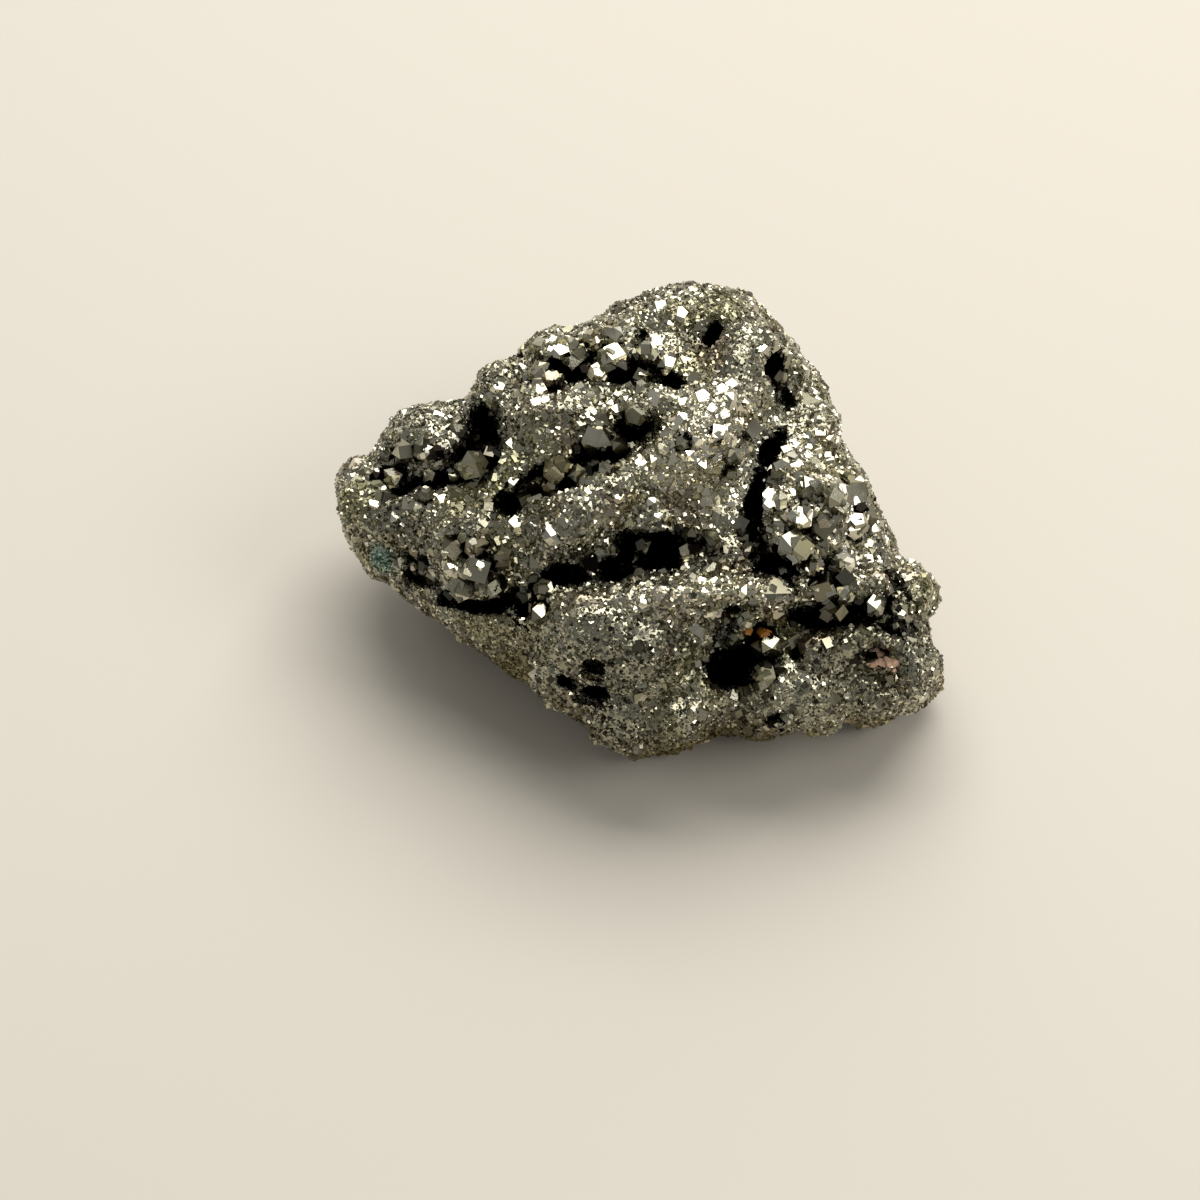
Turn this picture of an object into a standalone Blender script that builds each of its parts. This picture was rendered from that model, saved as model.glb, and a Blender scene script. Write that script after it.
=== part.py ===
"""Pyrite specimen: one lump of crystals that grew together, lying on a broken flat base.

Places on the lump are given as they are seen from some direction, in millimetres from the middle of
the lump: u runs across that view, v up the view. The show side, with the large vugs, faces up and
forwards. The lump's outline as seen from there is the rim.
"""

import math

import bmesh
import bpy
import numpy as np
from mathutils import Matrix, Quaternion, Vector
from mathutils.bvhtree import BVHTree

MM = 0.001

# Directions that a side faces: azimuth and elevation in degrees
SHOW = (0.0, 55.0)
BACK = (180.0, 20.0)
BACK_LEFT = (225.0, 25.0)
BACK_RIGHT = (140.0, 20.0)
LEFT = (270.0, 15.0)
RIGHT = (90.0, 15.0)

# Driving dimensions, in millimetres
MIDDLE_HEIGHT = 14.0
FRONT_BULGE = 15.5
BACK_BULGE = 18.0
RIM_LEAN = -0.10
RIM_FULLNESS = 0.72
RIM_SHARPNESS = 6
FUSING_GRID = 0.85
SURFACE_TRIANGLES = 3900

# Rim of the lump seen from the show side, clockwise from its left tip: (u, v)
RIM = (
    (-33.3, 2.3), (-32.9, 4.2), (-31.6, 5.6), (-28.6, 6.8), (-27.5, 8.9), (-26.4, 11.0), (-24.8, 12.1),
    (-22.5, 12.3), (-20.4, 11.8), (-19.6, 11.2), (-18.4, 12.4), (-17.4, 14.2), (-16.8, 16.1), (-15.6, 16.8),
    (-13.2, 17.1), (-12.2, 18.5), (-11.0, 20.2), (-9.4, 20.8), (-7.4, 20.5), (-6.0, 21.5), (-4.0, 22.0),
    (-2.4, 23.3), (-0.4, 23.6), (0.8, 24.9), (3.1, 25.5), (6.2, 25.8), (8.4, 25.1), (10.4, 24.3),
    (12.4, 22.8), (14.0, 20.4), (15.9, 20.0), (18.6, 16.6), (20.2, 14.0), (20.6, 12.2), (22.0, 9.4),
    (22.3, 6.2), (23.8, 4.4), (25.2, 0.4), (26.2, -3.0), (28.2, -3.2), (29.8, -5.4), (31.2, -10.0),
    (30.9, -11.9), (32.0, -14.2), (32.6, -16.0), (31.8, -18.4), (29.8, -19.9), (24.2, -22.4), (21.6, -21.5),
    (19.0, -21.6), (16.2, -23.2), (13.4, -23.5), (10.0, -22.5), (7.6, -23.1), (3.1, -24.9), (-0.8, -25.5),
    (-4.6, -24.3), (-6.8, -21.6), (-12.0, -18.2), (-16.5, -14.0), (-22.2, -10.5), (-25.0, -9.0), (-26.6, -6.8),
    (-30.2, -5.2), (-31.5, -3.4), (-32.8, -0.6),
)

# Knolls and ridges that stand out of the lump: the side, u, v, height of the knoll's middle over the
# surface, radii across, up and towards the eye, and the turn in the view in degrees
KNOLLS = (
    (SHOW, -26.5, 1.0, -4.5, 5.6, 5.0, 6.5, 0),
    (SHOW, -21.4, 7.0, -4.2, 4.4, 3.6, 5.6, 12),
    (SHOW, -14.5, 12.6, -3.8, 3.6, 3.8, 5.8, 20),
    (SHOW, -9.2, 16.8, -3.2, 3.2, 3.0, 5.0, 0),
    (SHOW, -3.6, 18.4, -3.0, 3.6, 2.8, 5.0, 15),
    (SHOW, 3.4, 20.4, -3.2, 3.8, 3.4, 5.2, 20),
    (SHOW, 9.0, 20.4, -2.4, 4.4, 3.8, 5.4, -25),
    (SHOW, 14.6, 14.8, -3.4, 3.8, 3.6, 5.2, -45),
    (SHOW, 17.8, 8.6, -3.6, 3.2, 4.2, 5.4, -15),
    (SHOW, -8.5, 11.2, -2.4, 7.6, 3.4, 5.2, 8),
    (SHOW, 2.5, 11.6, -2.0, 6.5, 2.8, 5.0, -4),
    (SHOW, -5.2, 0.2, -1.6, 8.6, 3.6, 5.4, 38),
    (SHOW, 5.8, 7.2, -1.2, 7.8, 4.6, 5.4, 52),
    (SHOW, 10.6, 13.8, -2.2, 4.6, 6.4, 5.2, -12),
    (SHOW, -14.4, -0.8, -2.6, 7.6, 3.6, 4.8, 6),
    (SHOW, -16.6, -5.2, -1.8, 4.4, 2.9, 4.6, -6),
    (SHOW, 16.8, -2.0, -2.4, 5.6, 7.4, 5.2, 8),
    (SHOW, 22.6, -3.6, -3.8, 3.4, 6.6, 5.2, 18),
    (SHOW, 5.0, -8.6, -0.6, 12.0, 2.4, 4.8, 2),
    (SHOW, 18.2, -7.6, -1.4, 8.0, 2.1, 4.4, 4),
    (SHOW, 27.0, -8.2, -3.6, 4.0, 4.4, 5.5, 0),
    (SHOW, -3.4, -12.2, -1.0, 8.4, 5.4, 5.6, -18),
    (SHOW, 1.6, -19.2, -2.2, 8.2, 5.6, 6.0, 14),
    (SHOW, -8.2, -16.2, -2.8, 6.4, 3.6, 5.6, -40),
    (SHOW, 20.6, -13.4, -1.2, 7.0, 3.0, 5.0, 4),
    (SHOW, 25.2, -17.0, -2.6, 6.8, 3.8, 6.2, 6),
    (SHOW, 15.6, -18.6, -2.2, 6.4, 4.4, 6.0, -4),
    (BACK, -15.0, -10.0, -4.0, 7.0, 3.6, 6.0, 20),
    (BACK, -4.0, -8.0, -4.2, 6.2, 4.6, 6.0, -20),
    (BACK, 7.5, -10.0, -3.8, 6.8, 3.8, 6.0, 14),
    (BACK, 17.0, -10.0, -4.0, 5.4, 3.6, 6.0, -8),
    (LEFT, -5.0, -9.0, -4.2, 6.0, 3.6, 5.6, 10),
    (RIGHT, 6.0, -10.0, -4.2, 6.0, 3.6, 5.6, 16),
)

# Vugs and clefts cut into the lump: the side, u, v, radii across and up, depth, and the turn in degrees
VUGS = (
    (SHOW, 0.9, -3.6, 4.3, 2.1, 8.5, 4),
    (SHOW, -2.8, -5.6, 2.4, 1.3, 6.5, 12),
    (SHOW, -8.4, -6.4, 3.0, 0.9, 4.0, 8),
    (SHOW, 9.4, -15.6, 3.5, 2.3, 8.5, 12),
    (SHOW, 11.9, -12.6, 1.5, 2.3, 6.5, -18),
    (SHOW, 8.9, -9.9, 1.2, 0.7, 3.0, 0),
    (SHOW, 19.8, -10.6, 4.6, 1.0, 4.6, 12),
    (SHOW, 25.4, -11.6, 1.1, 2.1, 4.0, 32),
    (SHOW, 11.6, 1.0, 1.1, 4.6, 4.8, -6),
    (SHOW, 13.2, 6.9, 1.0, 2.3, 3.2, -24),
    (SHOW, 13.9, -5.4, 2.3, 1.5, 5.5, -20),
    (SHOW, 7.6, 19.0, 0.9, 1.4, 4.5, -24),
    (SHOW, 13.4, 15.8, 1.3, 2.0, 4.5, -20),
    (SHOW, 16.4, 14.2, 2.2, 1.6, 1.6, -35),
    (SHOW, -7.8, 15.6, 4.2, 1.9, 3.4, 4),
    (SHOW, -1.6, 15.0, 4.0, 1.7, 4.0, -8),
    (SHOW, 3.0, 14.0, 2.0, 1.0, 3.2, -24),
    (SHOW, -0.8, 9.0, 1.7, 1.9, 4.6, -30),
    (SHOW, -4.2, 5.3, 3.2, 1.1, 4.2, 36),
    (SHOW, -9.6, 2.8, 3.4, 1.1, 3.4, 26),
    (SHOW, -16.1, 7.6, 1.5, 3.8, 6.5, 10),
    (SHOW, -21.4, 3.9, 5.0, 1.2, 3.6, 8),
    (SHOW, -14.2, 1.4, 1.4, 1.9, 4.0, 30),
    (SHOW, -17.2, -9.3, 4.4, 1.1, 5.0, -4),
    (SHOW, -12.6, -9.0, 1.1, 2.1, 4.0, 14),
    (SHOW, -23.4, -5.0, 1.7, 0.9, 2.6, -12),
    (SHOW, -5.2, -15.5, 1.6, 0.9, 3.4, -18),
    (SHOW, -4.8, -18.1, 1.4, 0.8, 2.8, -8),
    (SHOW, -8.3, -17.0, 0.9, 0.6, 1.8, 0),
    (SHOW, 24.6, -14.2, 3.6, 1.8, 2.0, -12),
    (SHOW, 15.8, -14.2, 0.7, 0.7, 2.2, 0),
    (SHOW, 13.8, -20.8, 1.7, 0.6, 2.4, -6),
    (BACK, -13.5, 2.0, 3.8, 2.2, 6.0, 26),
    (BACK, -1.0, -4.6, 4.4, 1.5, 5.5, -12),
    (BACK, 12.2, 3.4, 1.6, 3.6, 5.0, 14),
    (BACK, 3.0, 8.5, 3.0, 1.1, 4.0, 20),
    (BACK, 22.0, -5.0, 2.4, 1.4, 3.5, -30),
    (BACK, -22.0, 4.5, 1.4, 1.0, 2.6, 0),
    (BACK, -9.0, -7.0, 2.0, 1.0, 3.2, 8),
    (LEFT, -1.5, 1.0, 2.8, 1.3, 4.0, -24),
    (LEFT, 8.5, -2.0, 1.2, 0.9, 2.4, 0),
    (RIGHT, 1.0, -3.0, 3.4, 1.2, 4.4, 16),
    (RIGHT, 13.0, 5.5, 1.4, 2.2, 3.2, -10),
    (RIGHT, -12.0, -2.0, 1.6, 0.9, 2.6, 6),
)
VUG_MOUTH = 1.6
VUG_ROUGHNESS = 0.36
VUG_SEED = 5
# A vug whose two radii multiply to more than this, in square millimetres, has finer walls
WIDE_VUG = 8.0

# Patches of crystals large enough to stand out from the fine coat: the side, the patch's u and v, its
# half sizes across and up, its turn, the number of crystals and the smallest and largest width of one
CRYSTAL_PATCHES = (
    (SHOW, -4.0, 16.2, 7.6, 3.0, 2, 26, 1.8, 3.2),
    (SHOW, 17.6, -1.0, 5.4, 8.2, 10, 28, 1.7, 3.0),
    (SHOW, -21.0, 5.0, 6.6, 2.9, 8, 12, 1.6, 2.6),
    (SHOW, -16.6, -5.4, 4.4, 2.8, -6, 12, 1.8, 2.8),
    (SHOW, -4.6, 6.4, 6.4, 2.4, 30, 12, 1.6, 2.7),
    (SHOW, 3.4, -4.6, 5.6, 3.0, 0, 8, 1.7, 2.5),
    (SHOW, 10.4, -14.0, 4.2, 3.8, 0, 6, 1.6, 2.2),
    (SHOW, 22.6, -10.4, 6.4, 2.4, 8, 8, 1.6, 2.3),
    (SHOW, 7.2, 7.0, 4.6, 3.4, 40, 7, 1.5, 2.2),
    (SHOW, -10.6, -8.4, 2.6, 2.2, 0, 4, 1.8, 2.6),
    (BACK, -13.0, 3.0, 5.6, 3.6, 20, 10, 1.8, 2.8),
    (BACK, 11.0, 1.0, 5.0, 6.0, 0, 11, 1.8, 3.0),
    (BACK_LEFT, 2.0, 2.0, 4.0, 4.0, 0, 5, 1.8, 2.6),
    (LEFT, 1.0, 0.0, 4.0, 3.6, 0, 5, 1.7, 2.5),
    (BACK_RIGHT, -3.0, 0.0, 5.0, 4.0, 0, 6, 1.7, 2.6),
)
CRYSTAL_HABITS = ("cube", "trimmed_cube", "trimmed_cube", "pyritohedron")
CRYSTAL_SEED = 41
# In widths of the crystal: how high its middle stands over the body, and how close two may be
CRYSTAL_STAND = 0.10
CRYSTAL_SPACING = 0.48
# No crystal stands on the outermost part of the show side, as a share of the rim's distance
BARE_RIM = 0.89

# A look starts this far out, in metres
FAR = 0.1

PYRITE = {"Base Color": (0.30, 0.27, 0.20, 1.0), "Roughness": 0.3, "Metallic": 1.0}


def axes_seen_from(side):
    """Unit vectors across, up and towards the eye, for an eye that looks at that side."""
    a, e = math.radians(side[0]), math.radians(side[1])
    toward = Vector((math.sin(a) * math.cos(e), -math.cos(a) * math.cos(e), math.sin(e)))
    across = Vector((math.cos(a), math.sin(a), 0.0))
    return across, toward.cross(across), toward


def turn_of(side):
    """The matrix that turns u, v and the direction towards the eye to the ground's axes."""
    return Matrix(axes_seen_from(side)).transposed().to_4x4()


def to_ground(side):
    """The matrix from a side's millimetres to metres over the ground."""
    return Matrix.Scale(MM, 4) @ Matrix.Translation((0.0, 0.0, MIDDLE_HEIGHT)) @ turn_of(side)


def surface_tree(mesh):
    """A mesh made ready for looks at it."""
    return BVHTree.FromPolygons([v.co for v in mesh.vertices], [p.vertices for p in mesh.polygons])


def look(tree, side, u, v):
    """Where a look at a place on a side meets the surface, and the surface's normal there."""
    toward = axes_seen_from(side)[2]
    hit, normal, _, _ = tree.ray_cast(to_ground(side) @ Vector((u, v, 0.0)) + FAR * toward, -toward)
    return hit, normal


def rim_radius(angle):
    """Distance from the middle to the rim at an angle in the view of the show side."""
    points = np.array(RIM)
    angles = np.arctan2(points[:, 1], points[:, 0])
    order = np.argsort(angles)
    return np.interp(angle, angles[order], np.hypot(*points[order].T), period=2 * math.pi)


def add_plain_lump(bm):
    """A closed skin whose rim is the outline: rings that shrink from the rim to the front and the back.
    The small bends of the outline fade out away from the rim."""
    spokes, rings = 132, 26
    angles = np.linspace(-math.pi, math.pi, spokes, endpoint=False)
    rim = rim_radius(angles)
    window = spokes // 12
    plain = np.mean([np.roll(rim, shift) for shift in range(-window, window + 1)], axis=0)
    front = bm.verts.new((0, 0, FRONT_BULGE))
    loops = []
    for polar in np.linspace(0, math.pi, rings + 2)[1:-1]:
        radii = plain + (rim - plain) * math.sin(polar) ** RIM_SHARPNESS
        radii = np.minimum(radii * math.sin(polar) ** RIM_FULLNESS, rim)
        bulge = FRONT_BULGE if polar < math.pi / 2 else BACK_BULGE
        across, up = radii * np.cos(angles), radii * np.sin(angles)
        depth = RIM_LEAN * up + bulge * math.cos(polar)
        loops.append([bm.verts.new(point) for point in zip(across, up, depth)])
    back = bm.verts.new((0, 0, -BACK_BULGE))
    for here, there in zip(loops, loops[1:]):
        for i in range(spokes):
            bm.faces.new((here[i - 1], there[i - 1], there[i], here[i]))
    for i in range(spokes):
        bm.faces.new((front, loops[0][i - 1], loops[0][i]))
        bm.faces.new((back, loops[-1][i], loops[-1][i - 1]))
    bm.transform(to_ground(SHOW))
    bmesh.ops.recalc_face_normals(bm, faces=bm.faces)


def add_ellipsoid(bm, side, middle, radii, turn, subdivisions, rough=None):
    """An ellipsoid that lies along a side's axes. With rough, a random generator, its corners stand
    uneven, as on a crystal-lined wall."""
    made = bmesh.ops.create_icosphere(bm, subdivisions=subdivisions, radius=1.0)["verts"]
    if rough is not None:
        for vert in made:
            vert.co *= 1.0 + VUG_ROUGHNESS * (rough.random() - 0.5)
    turned = turn_of(side) @ Matrix.Rotation(math.radians(turn), 4, "Z")
    sized = Matrix.Diagonal((*(r * MM for r in radii), 1.0))
    bmesh.ops.transform(bm, matrix=Matrix.Translation(middle) @ turned @ sized, verts=made)


def object_of(name, bm):
    """A new object that holds the bmesh."""
    mesh = bpy.data.meshes.new(name)
    bmesh.ops.recalc_face_normals(bm, faces=bm.faces)
    bm.to_mesh(mesh)
    bm.free()
    obj = bpy.data.objects.new(name, mesh)
    bpy.context.scene.collection.objects.link(obj)
    return obj


def hide(obj):
    """A cutter or a shape that is joined to another isn't a piece of its own."""
    obj.hide_render = True
    obj.display_type = "WIRE"
    return obj


def grown_lump():
    """The plain lump and its knolls, still as overlapping skins in one mesh."""
    bm = bmesh.new()
    add_plain_lump(bm)
    tree = BVHTree.FromBMesh(bm)
    for side, u, v, height, across, up, deep, turn in KNOLLS:
        hit, _ = look(tree, side, u, v)
        middle = hit + axes_seen_from(side)[2] * height * MM
        add_ellipsoid(bm, side, middle, (across, up, deep), turn, 3)
    return object_of("pyrite_cluster", bm)


def vug_cutter(body):
    """All vugs and clefts as one cutting shape, each as deep under the body's surface as it should be."""
    tree = surface_tree(evaluated_mesh(body))
    rough = np.random.default_rng(VUG_SEED)
    bm = bmesh.new()
    for side, u, v, across, up, deep, turn in VUGS:
        hit, _ = look(tree, side, u, v)
        middle = hit + axes_seen_from(side)[2] * VUG_MOUTH * MM
        subdivisions = 2 if across * up > WIDE_VUG else 1
        add_ellipsoid(bm, side, middle, (across, up, deep + VUG_MOUTH), turn, subdivisions, rough)
    return hide(object_of("vug_cutter", bm))


def ground_cutter():
    """A block under the ground, which breaks the lump off flat where it lies."""
    size, depth = 0.12, 0.04
    bm = bmesh.new()
    place = Matrix.Translation((0, 0, -depth / 2)) @ Matrix.Diagonal((size, size, depth, 1))
    bmesh.ops.create_cube(bm, size=1.0, matrix=place)
    return hide(object_of("ground_cutter", bm))


def crystal_corners(habit):
    """Corners of a crystal about one unit wide, in one of the three shapes that pyrite grows in."""
    signs = (-1, 1)
    cube = [(x, y, z) for x in signs for y in signs for z in signs]
    if habit == "cube":
        return np.array(cube) * 0.42
    if habit == "trimmed_cube":
        edge_middles = [(a, b, 0) for a in signs for b in signs]
        return np.array([e[i:] + e[:i] for e in edge_middles for i in range(3)]) * 0.5
    ridge_ends = [(0.0, 1.5 * a, 0.75 * b) for a in signs for b in signs]
    return np.array(cube + [r[i:] + r[:i] for r in ridge_ends for i in range(3)]) / 3.0


def add_crystal(bm, corners, middle, turn, width):
    verts = [bm.verts.new(middle + turn @ Vector(c * width * MM)) for c in corners]
    bmesh.ops.convex_hull(bm, input=verts)


def crystal_cluster(body):
    """The larger crystals, each set into the body where a look at its patch meets it."""
    tree = surface_tree(evaluated_mesh(body))
    to_show_side = to_ground(SHOW).inverted()
    habits = [crystal_corners(name) for name in CRYSTAL_HABITS]
    rng = np.random.default_rng(CRYSTAL_SEED)
    bm = bmesh.new()
    placed = []
    for side, u, v, across, up, turn, count, smallest, largest in CRYSTAL_PATCHES:
        lean = Matrix.Rotation(math.radians(turn), 2)
        for i in range(count):
            angle = 2 * math.pi * rng.random()
            reach = math.sqrt((i + 0.5) / count)
            step = lean @ Vector((across * reach * math.cos(angle), up * reach * math.sin(angle)))
            width = smallest + (largest - smallest) * rng.random() ** 1.6
            turned = Quaternion(rng.normal(size=4)).normalized()
            habit = habits[int(rng.random() * len(habits))]
            hit, normal = look(tree, side, u + step.x, v + step.y)
            if hit is None or hit.z < width * MM:
                continue
            seen = to_show_side @ hit
            if math.hypot(seen.x, seen.y) > BARE_RIM * rim_radius(math.atan2(seen.y, seen.x)):
                continue
            middle = hit + normal * CRYSTAL_STAND * width * MM
            if any((middle - m).length < (width + w) * CRYSTAL_SPACING * MM for m, w in placed):
                continue
            placed.append((middle, width))
            add_crystal(bm, habit, middle, turned, width)
    return hide(object_of("crystal_cluster", bm))


def add_relief(obj, name, size, strength):
    """Uneven growth: the surface is raised and lowered by a cloud pattern of that size."""
    texture = bpy.data.textures.new(name, "CLOUDS")
    texture.noise_scale = size * MM
    relief = obj.modifiers.new(name, "DISPLACE")
    relief.texture = texture
    relief.texture_coords = "LOCAL"
    relief.strength = strength * MM
    relief.mid_level = 0.5


def add_boolean(obj, other, operation):
    boolean = obj.modifiers.new(other.name, "BOOLEAN")
    boolean.object = other
    boolean.operation = operation
    boolean.solver = "EXACT"
    boolean.use_self = True


def evaluated_mesh(obj):
    graph = bpy.context.evaluated_depsgraph_get()
    graph.update()
    return bpy.data.meshes.new_from_object(obj.evaluated_get(graph), depsgraph=graph)


def largest_shell(bm):
    """The faces of the biggest shell, which goes on only across edges that two faces share."""
    left, largest = set(bm.faces), set()
    while left:
        shell, front = set(), [left.pop()]
        while front:
            face = front.pop()
            shell.add(face)
            near = {f for e in face.edges if len(e.link_faces) == 2 for f in e.link_faces} & left
            left -= near
            front.extend(near)
        largest = max(largest, shell, key=len)
    return largest


def settle(body):
    """Applies the modifiers, deletes the slivers that the Booleans leave beside the one body, makes all
    faces triangles, and sets the lump down with the middle of its outline over the origin."""
    bm = bmesh.new()
    bm.from_mesh(evaluated_mesh(body))
    kept = largest_shell(bm)
    bmesh.ops.delete(bm, geom=[f for f in bm.faces if f not in kept], context="FACES")
    bmesh.ops.triangulate(bm, faces=bm.faces)
    corners = np.array([v.co for v in bm.verts])
    centre = (corners.min(axis=0) + corners.max(axis=0)) / 2
    bm.transform(Matrix.Translation((-centre[0], -centre[1], 0.0)))
    body.modifiers.clear()
    bm.to_mesh(body.data)
    bm.free()


def pyrite_material():
    """Tarnished pyrite: pale brass metal, dulled to grey."""
    material = bpy.data.materials.new("pyrite")
    material.use_nodes = True
    shader = material.node_tree.nodes["Principled BSDF"]
    for socket, value in PYRITE.items():
        shader.inputs[socket].default_value = value
    return material


def build():
    for obj in list(bpy.data.objects):
        bpy.data.objects.remove(obj)
    body = grown_lump()
    body.data.materials.append(pyrite_material())
    fuse = body.modifiers.new("fuse", "REMESH")
    fuse.mode = "VOXEL"
    fuse.voxel_size = FUSING_GRID * MM
    soften = body.modifiers.new("soften", "SMOOTH")
    soften.factor = 0.5
    soften.iterations = 2
    add_relief(body, "broad_relief", 9.0, 2.6)
    add_relief(body, "lumpy_relief", 3.2, 2.0)
    fine_triangles = sum(len(p.vertices) - 2 for p in evaluated_mesh(body).polygons)
    thin = body.modifiers.new("thin", "DECIMATE")
    thin.ratio = SURFACE_TRIANGLES / fine_triangles
    tools = [vug_cutter(body), ground_cutter()]
    for cutter in tools:
        add_boolean(body, cutter, "DIFFERENCE")
    tools.append(crystal_cluster(body))
    add_boolean(body, tools[-1], "UNION")
    settle(body)
    for tool in tools:
        bpy.data.objects.remove(tool)


build()
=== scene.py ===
"""Pyrite specimen: one lump of crystals that grew together, seen from above its show side.

The lump is built up as the real one is: a body of grown-together ore, larger crystals in its coarse
fields, and a fine coat of small crystals over everything. Places on the show side are given in
millimetres from the lump's middle, u across the view and v up the view, or, where they were read off
the photograph, in its pixels.
"""

import itertools
import math

import bmesh
import bpy
import numpy as np
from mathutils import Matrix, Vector
from mathutils.bvhtree import BVHTree
from mathutils.kdtree import KDTree


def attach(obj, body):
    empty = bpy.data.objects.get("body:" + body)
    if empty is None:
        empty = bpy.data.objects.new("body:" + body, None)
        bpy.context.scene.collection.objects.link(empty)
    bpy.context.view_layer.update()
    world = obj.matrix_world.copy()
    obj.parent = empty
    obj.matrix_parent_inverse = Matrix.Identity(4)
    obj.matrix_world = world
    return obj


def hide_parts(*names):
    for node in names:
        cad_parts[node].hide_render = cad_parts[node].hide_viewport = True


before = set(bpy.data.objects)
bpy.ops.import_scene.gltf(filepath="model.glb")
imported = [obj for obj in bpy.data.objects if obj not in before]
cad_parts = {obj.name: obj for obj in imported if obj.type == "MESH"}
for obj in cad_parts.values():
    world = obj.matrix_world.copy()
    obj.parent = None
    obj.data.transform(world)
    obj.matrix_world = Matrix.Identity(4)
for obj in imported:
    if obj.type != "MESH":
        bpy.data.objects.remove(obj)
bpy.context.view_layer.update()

# The view: the lump lies on a table and the eye looks down on its show side. The camera's lens and
# distance give the photograph's framing, with the lump a little right of and above the middle.
MM = 0.001
SHOW_ELEVATION = math.radians(55.0)
MIDDLE = Vector((0.0, 0.0, 14.0)) * MM
LENS_MM, SENSOR_MM = 85.0, 36.0
EYE_DISTANCE = 0.3067
AIM_U, AIM_V = -3.8, -8.2
# The photograph's width and height in pixels, and how much of the lump one of them shows
PHOTO_PIXELS = 1200
PIXEL_MM = SENSOR_MM / LENS_MM * EYE_DISTANCE / MM / PHOTO_PIXELS

ACROSS = Vector((1.0, 0.0, 0.0))
TOWARD = Vector((0.0, -math.cos(SHOW_ELEVATION), math.sin(SHOW_ELEVATION)))
UP = TOWARD.cross(ACROSS)


def new_object(name, data):
    """An object in the scene, at the origin."""
    obj = bpy.data.objects.new(name, data)
    bpy.context.scene.collection.objects.link(obj)
    return obj


def show_point(u, v, depth=0.0):
    """A place on the show side in metres over the table."""
    return MIDDLE + (u * ACROSS + v * UP + depth * TOWARD) * MM


def from_photo(x, y):
    """u and v of a place in the photograph: x is counted to the right, y down."""
    return AIM_U + (x - PHOTO_PIXELS / 2) * PIXEL_MM, AIM_V - (y - PHOTO_PIXELS / 2) * PIXEL_MM


camera = new_object("camera", bpy.data.cameras.new("camera"))
camera.data.lens = LENS_MM
camera.data.sensor_width = SENSOR_MM
camera.data.clip_start = 0.01
camera.location = show_point(AIM_U, AIM_V) + TOWARD * EYE_DISTANCE
camera.rotation_euler = TOWARD.to_track_quat("Z", "Y").to_euler()
bpy.context.scene.camera = camera

# The table and the light: a plain pale table top under a large soft light behind and above the lump,
# so that upper faces glint and the shadow falls towards the eye, a weak light from the right, a pale
# wall far behind and a dim even room.
FLOOR_SIZE = 3.0
FLOOR_COLOR = "dad3c7"
FLOOR_ROUGHNESS = 0.7
KEY_SIZE = (0.76, 0.50)
KEY_PLACE = (0.08, 0.36, 0.64)
KEY_POWER = 5.1
KEY_COLOR = "fffdf8"
WINDOW_SIZE = (0.30, 0.30)
WINDOW_PLACE = (0.42, -0.16, 0.46)
WINDOW_POWER = 0.9
WALL_SIZE = (2.4, 1.0)
WALL_PLACE = (0.0, 1.2, 0.62)
WALL_POWER = 6.0
ROOM_COLOR = "d9dad9"
ROOM_STRENGTH = 0.38


def linear(code):
    """A linear colour from an sRGB hex value."""
    values = [int(code[i:i + 2], 16) / 255 for i in (0, 2, 4)]
    return [v / 12.92 if v <= 0.04045 else ((v + 0.055) / 1.055) ** 2.4 for v in values] + [1.0]


def node(tree, kind, sockets=(), **settings):
    """Adds a node, with its settings and with each of its sockets set to a value or linked to an output."""
    made = tree.nodes.new("ShaderNode" + kind)
    for name, value in settings.items():
        setattr(made, name, value)
    for socket, value in dict(sockets).items():
        if isinstance(value, bpy.types.NodeSocket):
            tree.links.new(value, made.inputs[socket])
        else:
            made.inputs[socket].default_value = value
    return made


def new_material(name):
    """A material with only a Principled shader and its output, and its node tree and shader."""
    material = bpy.data.materials.new(name)
    material.use_nodes = True
    tree = material.node_tree
    return material, tree, tree.nodes["Principled BSDF"]


def area_light(name, place, size, power, color):
    """A soft rectangular light that faces the lump."""
    light = new_object(name, bpy.data.lights.new(name, "AREA"))
    light.data.shape = "RECTANGLE"
    light.data.size, light.data.size_y = size
    light.data.energy = power
    light.data.color = linear(color)[:3]
    light.location = place
    light.rotation_euler = (Vector(place) - MIDDLE).to_track_quat("Z", "Y").to_euler()


half = FLOOR_SIZE / 2
floor_mesh = bpy.data.meshes.new("table_top")
floor_corners = [(-half, -half, 0), (half, -half, 0), (half, half, 0), (-half, half, 0)]
floor_mesh.from_pydata(floor_corners, [], [(0, 1, 2, 3)])
floor = new_object("table_top", floor_mesh)
floor_material, floor_tree, floor_shader = new_material("matt_painted_board")
floor_shader.inputs["Base Color"].default_value = linear(FLOOR_COLOR)
floor_shader.inputs["Roughness"].default_value = FLOOR_ROUGHNESS
floor_mesh.materials.append(floor_material)
area_light("key", KEY_PLACE, KEY_SIZE, KEY_POWER, KEY_COLOR)
area_light("window", WINDOW_PLACE, WINDOW_SIZE, WINDOW_POWER, KEY_COLOR)
area_light("wall", WALL_PLACE, WALL_SIZE, WALL_POWER, KEY_COLOR)
world = bpy.data.worlds.new("room")
world.use_nodes = True
world.node_tree.nodes["Background"].inputs["Color"].default_value = linear(ROOM_COLOR)
world.node_tree.nodes["Background"].inputs["Strength"].default_value = ROOM_STRENGTH
bpy.context.scene.world = world
bpy.context.scene.view_settings.view_transform = "Standard"

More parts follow.
